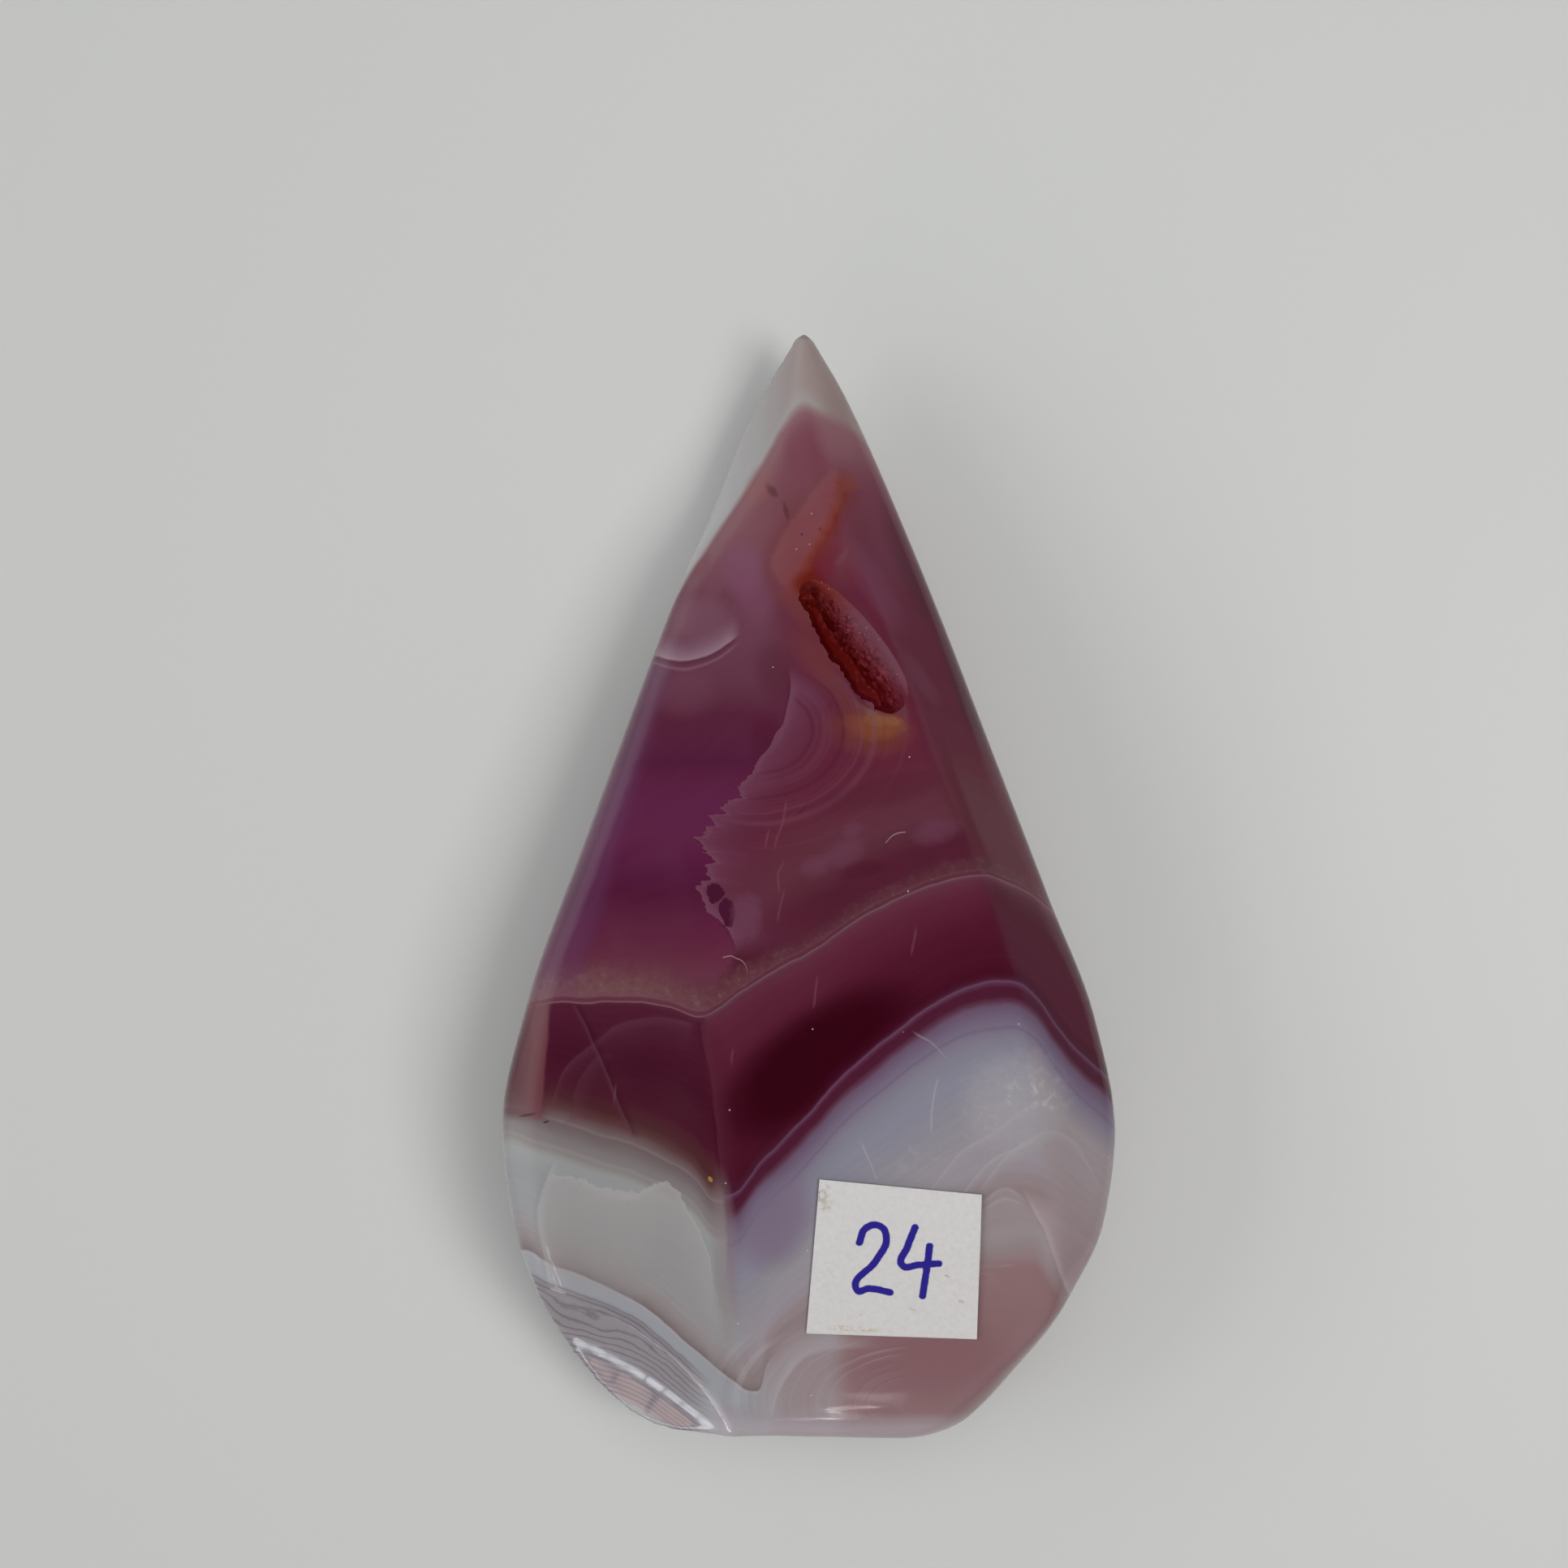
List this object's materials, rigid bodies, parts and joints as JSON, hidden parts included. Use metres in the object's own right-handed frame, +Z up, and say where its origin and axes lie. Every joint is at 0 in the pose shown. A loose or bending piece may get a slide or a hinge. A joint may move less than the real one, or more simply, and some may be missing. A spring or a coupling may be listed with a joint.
{
  "type": "agate flame carving",
  "caption": "Polished teardrop of banded agate with a sawn base, ground facets, a hollow scoop at one corner, a crystal-lined pocket near the tip and a small paper number label.",
  "frame": {"origin": "on the table, under the middle of the stone as it lies on its flat back", "axes": "+Y from the sawn base to the tip, +Z up through the front that carries the label"},
  "size_m": [0.0504, 0.0936, 0.0237],
  "materials": {
    "agate": "high polish, translucent",
    "druse": "fine rough crystals",
    "label_paper": "matt"
  },
  "bodies": {
    "root": {"agate_flame": "agate", "druse_crust": "druse", "paper_label": "label_paper"}
  },
  "joints": []
}
